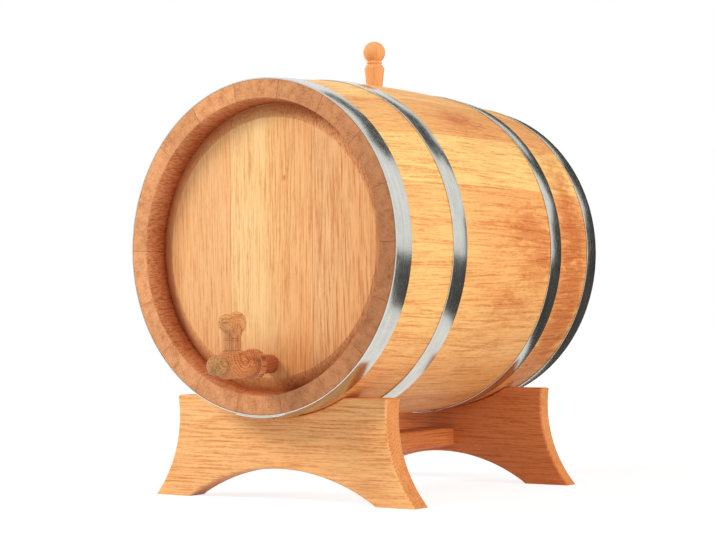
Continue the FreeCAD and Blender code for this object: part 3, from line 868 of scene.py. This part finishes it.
def make_bung():
    zt = BUNG_TOP_TAPER
    path = [(0, BUNG_BOTTOM), (BUNG_R_BOTTOM, BUNG_BOTTOM, 1.0), (BUNG_R_TOP, zt, 0.8), (8.9, zt + 1.6, 0.5),
            (8.9, zt + 3.0, 0.4), (6.9, zt + 3.6, 0.3), (6.9, zt + 4.2, 0.3), (7.9, zt + 5.0, 0.4),
            (7.9, zt + 6.2, 0.4)]
    path = rounded(path + ball(BUNG_BALL_Z, BUNG_BALL_R, 142.0, 0.0, 26), 0.0, steps=4)
    piece("bung_turned", turned(path, 72, "z", (0, BUNG_Y, 0)), "bung", ["bung"], [BUNG_OAK],
          upright_wood(5200.0, (30.0, -150.0)), BUNG_TINT, sharp=40.0)


def plug_r(z):
    return taper(z, KEY_PLUG_R[0], KEY_BOTTOM, KEY_PLUG_R[1], KEY_SEAT)


def make_tap():
    neck_y = NOSE_Y + 5.4
    nose = [(r, -y) for r, y in ball(-NOSE_Y, NOSE_R, 0.0, 121.0, 26)]
    barrel = smooth_path([(11.0, neck_y + 2.6), (12.5, neck_y + 5.6), (13.2, -43.0), (BARREL_R, -33.0),
                          (13.2, -23.0), (12.5, -18.2), (10.8, -15.0)])
    flange = [(10.4, -14.4, 0.3), (10.4, -13.4, 0.3), (14.2, -12.8, 0.5), (FLANGE_R, -11.2, 0.8),
              (FLANGE_R, -5.8, 0.9), (14.0, SHANK_START, 0.4)]
    shank = [(SHANK_R_OUT, SHANK_START, 0.6), (SHANK_R_IN, SHANK_END, 0.5), (0, SHANK_END)]
    path = nose + [(7.5, neck_y, 0.4), (7.5, neck_y + 1.1, 0.4)] + barrel + flange + shank
    bm = turned(rounded(path, 0.0, steps=4), 96)
    boss_path = rounded([(0, 0), (KEY_BOSS_R, 0), (KEY_BOSS_R, KEY_SEAT, 0.5), (0, KEY_SEAT)], 0.0)
    boss = turned(boss_path, 72, "z", (0, KEY_Y, 0))
    lo, hi = -BARREL_R - 2, KEY_SEAT + 0.5
    seat = turned(tapered_hole(plug_r, lo, hi), 64, "z", (0, KEY_Y, 0))
    start = NOSE_Y - SPOUT_R - 0.6
    way = turned([(0, start), (BORE_R, start), (BORE_R, SHANK_END + 1), (0, SHANK_END + 1)], 40)
    spout = turned([(0, -NOSE_R - 3), (SPOUT_R, -NOSE_R - 3), (SPOUT_R, 0), (0, 0)], 40, "z", (0, NOSE_Y, 0))
    bm = boolean(bm, [boss], "UNION")
    bm = boolean(bm, [seat, way, spout], "DIFFERENCE")
    bmesh.ops.translate(bm, vec=(0, 0, TAP_Z), verts=bm.verts)
    piece("tap_turned", bm, "tap", ["tap_body"], [TURNED_OAK], tap_wood, tap_tint, sharp=38.0)


def make_key():
    shoulder = KEY_SEAT + 0.1
    path = [(0, KEY_BOTTOM), (plug_r(KEY_BOTTOM), KEY_BOTTOM, 0.4), (plug_r(shoulder), shoulder, 0),
            (KEY_STEM_R, shoulder, 0.5)]
    for z in KEY_GROOVES:
        path += [(KEY_STEM_R, z - GROOVE_HALF, 0.2), (KEY_STEM_R - GROOVE_DEPTH, z, 0.2),
                 (KEY_STEM_R, z + GROOVE_HALF, 0.2)]
    path += [(KEY_STEM_R, 26.5, 5.0), (9.9, 32.5, 4.0), (8.8, HANDLE_Z - 1.6, 0.6), (0, HANDLE_Z - 1.6)]
    stem = turned(rounded(path, 0.0, steps=4), 72, "z", (0, KEY_Y, TAP_Z))
    piece("key_stem_turned", stem, "tap_key", ["tap_key_stem"], [KEY_OAK],
          upright_wood(9100.0, (60.0, 90.0)), KEY_TINT)
    (c0, r0, h0), (c1, r1, h1) = HANDLE_KNOBS
    a0, a1 = math.degrees(math.asin(HANDLE_NECK_R / r0)), 180.0 - math.degrees(math.asin(HANDLE_NECK_R / r1))
    front, rear = ball(c0, r0, 180.0, a0, 24, h0), ball(c1, r1, a1, 0.0, 24, h1)
    path = front[:-1] + [(*front[-1], 1.6), (*rear[0], 1.6)] + rear[1:]
    handle = turned(rounded(path, 0.0, steps=5), 72, "y", (0, KEY_Y, TAP_Z + HANDLE_Z))
    piece("key_handle_turned", handle, "tap_key", ["tap_key_handle"], [KEY_OAK], handle_wood,
          HANDLE_TINT, sharp=50.0)


# ---------------------------------------------------------------- stand
BOARD_ROUND, RAIL_ROUND, RAIL_INTO = 2.4, 3.2, 1.0      # the stretcher reaches RAIL_INTO into each board
RAIL_CUT = (40.0, 900.0, 60.0)


def board_outline(y, depth, foot_in):
    """Outline (x, height above the floor) of a board at y behind the front chime, shrunk by a depth."""
    cradle = bent_r(y) + CRADLE_GAP
    top = BOARD_SIDE[0][1]
    rim = math.degrees(math.acos((AXIS_Z - top) / cradle))
    seat = [(cradle * math.sin(math.radians(a)), AXIS_Z - cradle * math.cos(math.radians(a)))
            for a in spread(-rim, rim, 48)]
    side = arc_through(*BOARD_SIDE, 24)
    arch = arc_through((foot_in, 0), (0, ARCH_H), (-foot_in, 0), 40)
    corners = seat + side + arch + [(-x, z) for x, z in reversed(side)]
    radii = {len(seat): 1.6, len(seat) + len(side) - 1: 0.6, len(seat) + len(side): 0.5}
    n = len(corners)
    if depth > 0:
        # the feet stay on the floor however far the outline shrinks
        shrunk = inset(corners, depth)
        corners = [(x, max(z, 0.0) if z0 > 0.01 else 0.0) for (x, z), (_, z0) in zip(shrunk, corners)]
    marked = [(*p, radii.get(i, radii.get(n + len(seat) - 1 - i, 0.0))) for i, p in enumerate(corners)]
    return rounded(marked, 0.0, steps=3, loop=True)


def make_board(name, cut, tint):
    lo, hi = span(name)
    y, thick = lo.y - FRONT_Y, hi.y - lo.y
    bm = bmesh.new()
    loops = []
    for k in range(5):
        a = math.pi / 2 * k / 4
        loops.append((y + BOARD_ROUND * (1 - math.cos(a)), BOARD_ROUND * (1 - math.sin(a))))
    loops += [(y + thick / 2, 0.0)] + [(2 * y + thick - yy, d) for yy, d in reversed(loops)]
    outlines = [(yy, board_outline(yy, d, FOOT_INS[name])) for yy, d in loops]
    loft(bm, [[Vector((x, yy, z - AXIS_Z)) for x, z in outline] for yy, outline in outlines])

    def colour(p):
        inward = min(p.y - y, y + thick - p.y) / BOARD_ROUND
        return blend_colour(tint, EDGE_TINT, clamped(inward * 1.5 - 0.5))
    piece(name + "_oak", bm, "stand", [name], [OAK_STAND],
          lambda p: (p.z + cut[0], p.x + cut[1], p.y + cut[2]), colour)


def make_stretcher():
    y0 = span("stand_front_board")[1].y - FRONT_Y - RAIL_INTO
    y1 = span("stand_rear_board")[0].y - FRONT_Y + RAIL_INTO
    half, low, high = RAIL_W / 2, RAIL_Z - AXIS_Z, RAIL_Z + RAIL_H - AXIS_Z
    corners = [(-half, low), (half, low), (half, high), (-half, high)]
    section = rounded(corners, RAIL_ROUND, steps=6, loop=True)
    bm = bmesh.new()
    loft(bm, [[Vector((x, y, z)) for x, z in section] for y in spread(y0, y1, 12)])
    piece("stretcher_oak", bm, "stand", ["stand_stretcher"], [OAK_STAND],
          lambda p: (p.x + RAIL_CUT[0], p.y + RAIL_CUT[1], p.z + RAIL_CUT[2]), RAIL_SHADED_TINT)


def dress_dowels():
    """The dowels are out of sight and keep the frame's own mesh."""
    for name in ("head_front_dowels", "head_rear_dowels"):
        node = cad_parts[name]
        node.data.materials.clear()
        node.data.materials.append(BUNG_OAK)


make_staves()
make_heads()
make_hoops()
make_bung()
make_tap()
make_key()
make_board("stand_front_board", (55.0, 1200.0, 40.0), STAND_FRONT)
make_board("stand_rear_board", (-40.0, 3300.0, 70.0), STAND_REAR_SHADED)
make_stretcher()
dress_dowels()

# ---------------------------------------------------------------- floor, world and lamps
CENTRE = (0.0, 0.0, 0.24)
FLAG_AWAY = 3.0
FLAG_BLACK = Nodes("flag_black").finish((0.06, 0.055, 0.05, 1), 1.0, None, specular=0.5)


def background_rays(tree):
    """1 for rays that should see the white background: camera, glossy and transmission rays."""
    path = tree.nodes.new("ShaderNodeLightPath")
    seen = path.outputs["Is Camera Ray"]
    for ray in ("Is Glossy Ray", "Is Transmission Ray"):
        either = tree.nodes.new("ShaderNodeMath")
        either.operation = "MAXIMUM"
        tree.links.new(seen, either.inputs[0])
        tree.links.new(path.outputs[ray], either.inputs[1])
        seen = either.outputs[0]
    return seen


def make_floor(half=8.0, albedo=0.80, seen_albedo=0.30, glow=0.80, near=0.45, far=1.1):
    """White floor that keeps a soft shadow near the object and is plain white far away.

    It lights the object with albedo. Camera, glossy and transmission rays see seen_albedo and a glow, which
    rises to 1 from near to far metres off.
    """
    bm = bmesh.new()
    bmesh.ops.create_grid(bm, x_segments=2, y_segments=2, size=half)
    ob = placed("floor", mesh_of(bm, "floor"))
    n = Nodes("floor_white")
    n.tree.nodes.clear()
    seen = background_rays(n.tree)
    diffuse = n.node("BsdfDiffuse", n.mix(seen, (albedo,) * 3, (seen_albedo,) * 3))
    away = n.vector("LENGTH", n.node("TexCoord").outputs["Object"])
    level = n.node("MapRange", away, near, far, glow, 1.0).outputs[0]
    light = n.node("Emission", None, n.math("MULTIPLY", seen, level))
    both = n.node("AddShader", diffuse.outputs[0], light.outputs[0])
    n.node("OutputMaterial", both.outputs[0])
    ob.data.materials.append(n.material)


def make_world(level=0.42):
    world = bpy.data.worlds.new("studio")
    bpy.context.scene.world = world
    world.use_nodes = True
    tree = world.node_tree
    seen = background_rays(tree)
    strength = tree.nodes.new("ShaderNodeMapRange")
    tree.links.new(seen, strength.inputs["Value"])
    strength.inputs["To Min"].default_value = level
    strength.inputs["To Max"].default_value = 1.0
    ground = tree.nodes["Background"]
    ground.inputs["Color"].default_value = (1, 1, 1, 1)
    tree.links.new(strength.outputs[0], ground.inputs["Strength"])


def softbox(name, place, target, width, height, watts):
    """Area lamp that neither the camera nor glossy rays see, so it leaves no highlight of its own."""
    lamp = bpy.data.lights.new(name, "AREA")
    lamp.shape, lamp.size, lamp.size_y, lamp.energy = "RECTANGLE", width, height, watts
    ob = placed(name, lamp)
    ob.location = place
    ob.rotation_mode = "QUATERNION"
    ob.rotation_quaternion = (Vector(target) - Vector(place)).to_track_quat("-Z", "Y")
    ob.visible_camera = False
    ob.visible_glossy = False


def flag(name, az0, az1, rows):
    """Black studio flag swept round the cask from one azimuth to another (from +Y towards +X).

    rows are (radius, height) in metres. Only glossy rays see it, so it darkens what the steel mirrors and a
    little of the wood's sheen. It throws no shadow.
    """
    bm = bmesh.new()
    grid = [[bm.verts.new((r * math.sin(math.radians(a)), r * math.cos(math.radians(a)), z)) for r, z in rows]
            for a in spread(az0, az1, 16)]
    for near, far in zip(grid, grid[1:]):
        for i in range(len(rows) - 1):
            bm.faces.new((near[i], near[i + 1], far[i + 1], far[i]))
    ob = placed(name, mesh_of(bm, name))
    ob.data.materials.append(FLAG_BLACK)
    for ray in ("camera", "diffuse", "shadow", "transmission", "volume_scatter"):
        setattr(ob, "visible_" + ray, False)


def standing_flag(name, az0, az1, low, high):
    """Flag at FLAG_AWAY from one elevation to another, seen from the cask. None is down to the floor."""
    heights = [0.005 if e is None else CENTRE[2] + FLAG_AWAY * math.tan(math.radians(e)) for e in (low, high)]
    flag(name, az0, az1, [(FLAG_AWAY, z) for z in heights])


make_floor()
make_world()
softbox("key", (-1.75, -1.55, 1.75), CENTRE, 0.9, 0.9, 65.0)
softbox("fill", (2.3, -0.2, 1.1), CENTRE, 1.6, 1.4, 42.0)
standing_flag("flag_behind", -26, 25, None, 15)
standing_flag("flag_behind_high", -26, 18, 15, 28)
standing_flag("flag_side", 25, 32, None, 12)
standing_flag("flag_shoulder", 8, 19, 28, 36)
standing_flag("flag_above", -11, 29, 35, 38)
standing_flag("flag_top", -24, 29, 38, 48)
flag("flag_table", -26, 75, [(0.42, 0.002), (5.5, 0.002)])

# ---------------------------------------------------------------- camera
AZIMUTH, ELEVATION, ROLL = math.radians(35.8401), math.radians(-1.5704), math.radians(-0.6181)
DISTANCE, LENS = 1.94112, 93.75
TARGET = Vector((-0.02088, 0.0413, 0.22546))


def make_camera():
    cam = bpy.data.cameras.new("camera")
    cam.sensor_width, cam.sensor_fit, cam.lens = 36.0, "HORIZONTAL", LENS
    back = Vector((math.sin(AZIMUTH) * math.cos(ELEVATION), -math.cos(AZIMUTH) * math.cos(ELEVATION),
                   math.sin(ELEVATION)))
    right = Vector((math.cos(AZIMUTH), math.sin(AZIMUTH), 0.0))
    up = right.cross(-back)
    r2 = right * math.cos(ROLL) + up * math.sin(ROLL)
    u2 = up * math.cos(ROLL) - right * math.sin(ROLL)
    turn = Matrix((r2, u2, back)).transposed().to_4x4()
    ob = placed("camera", cam)
    ob.matrix_world = Matrix.Translation(TARGET + back * DISTANCE) @ turn
    bpy.context.scene.camera = ob


make_camera()
bpy.context.scene.view_settings.view_transform = "Standard"
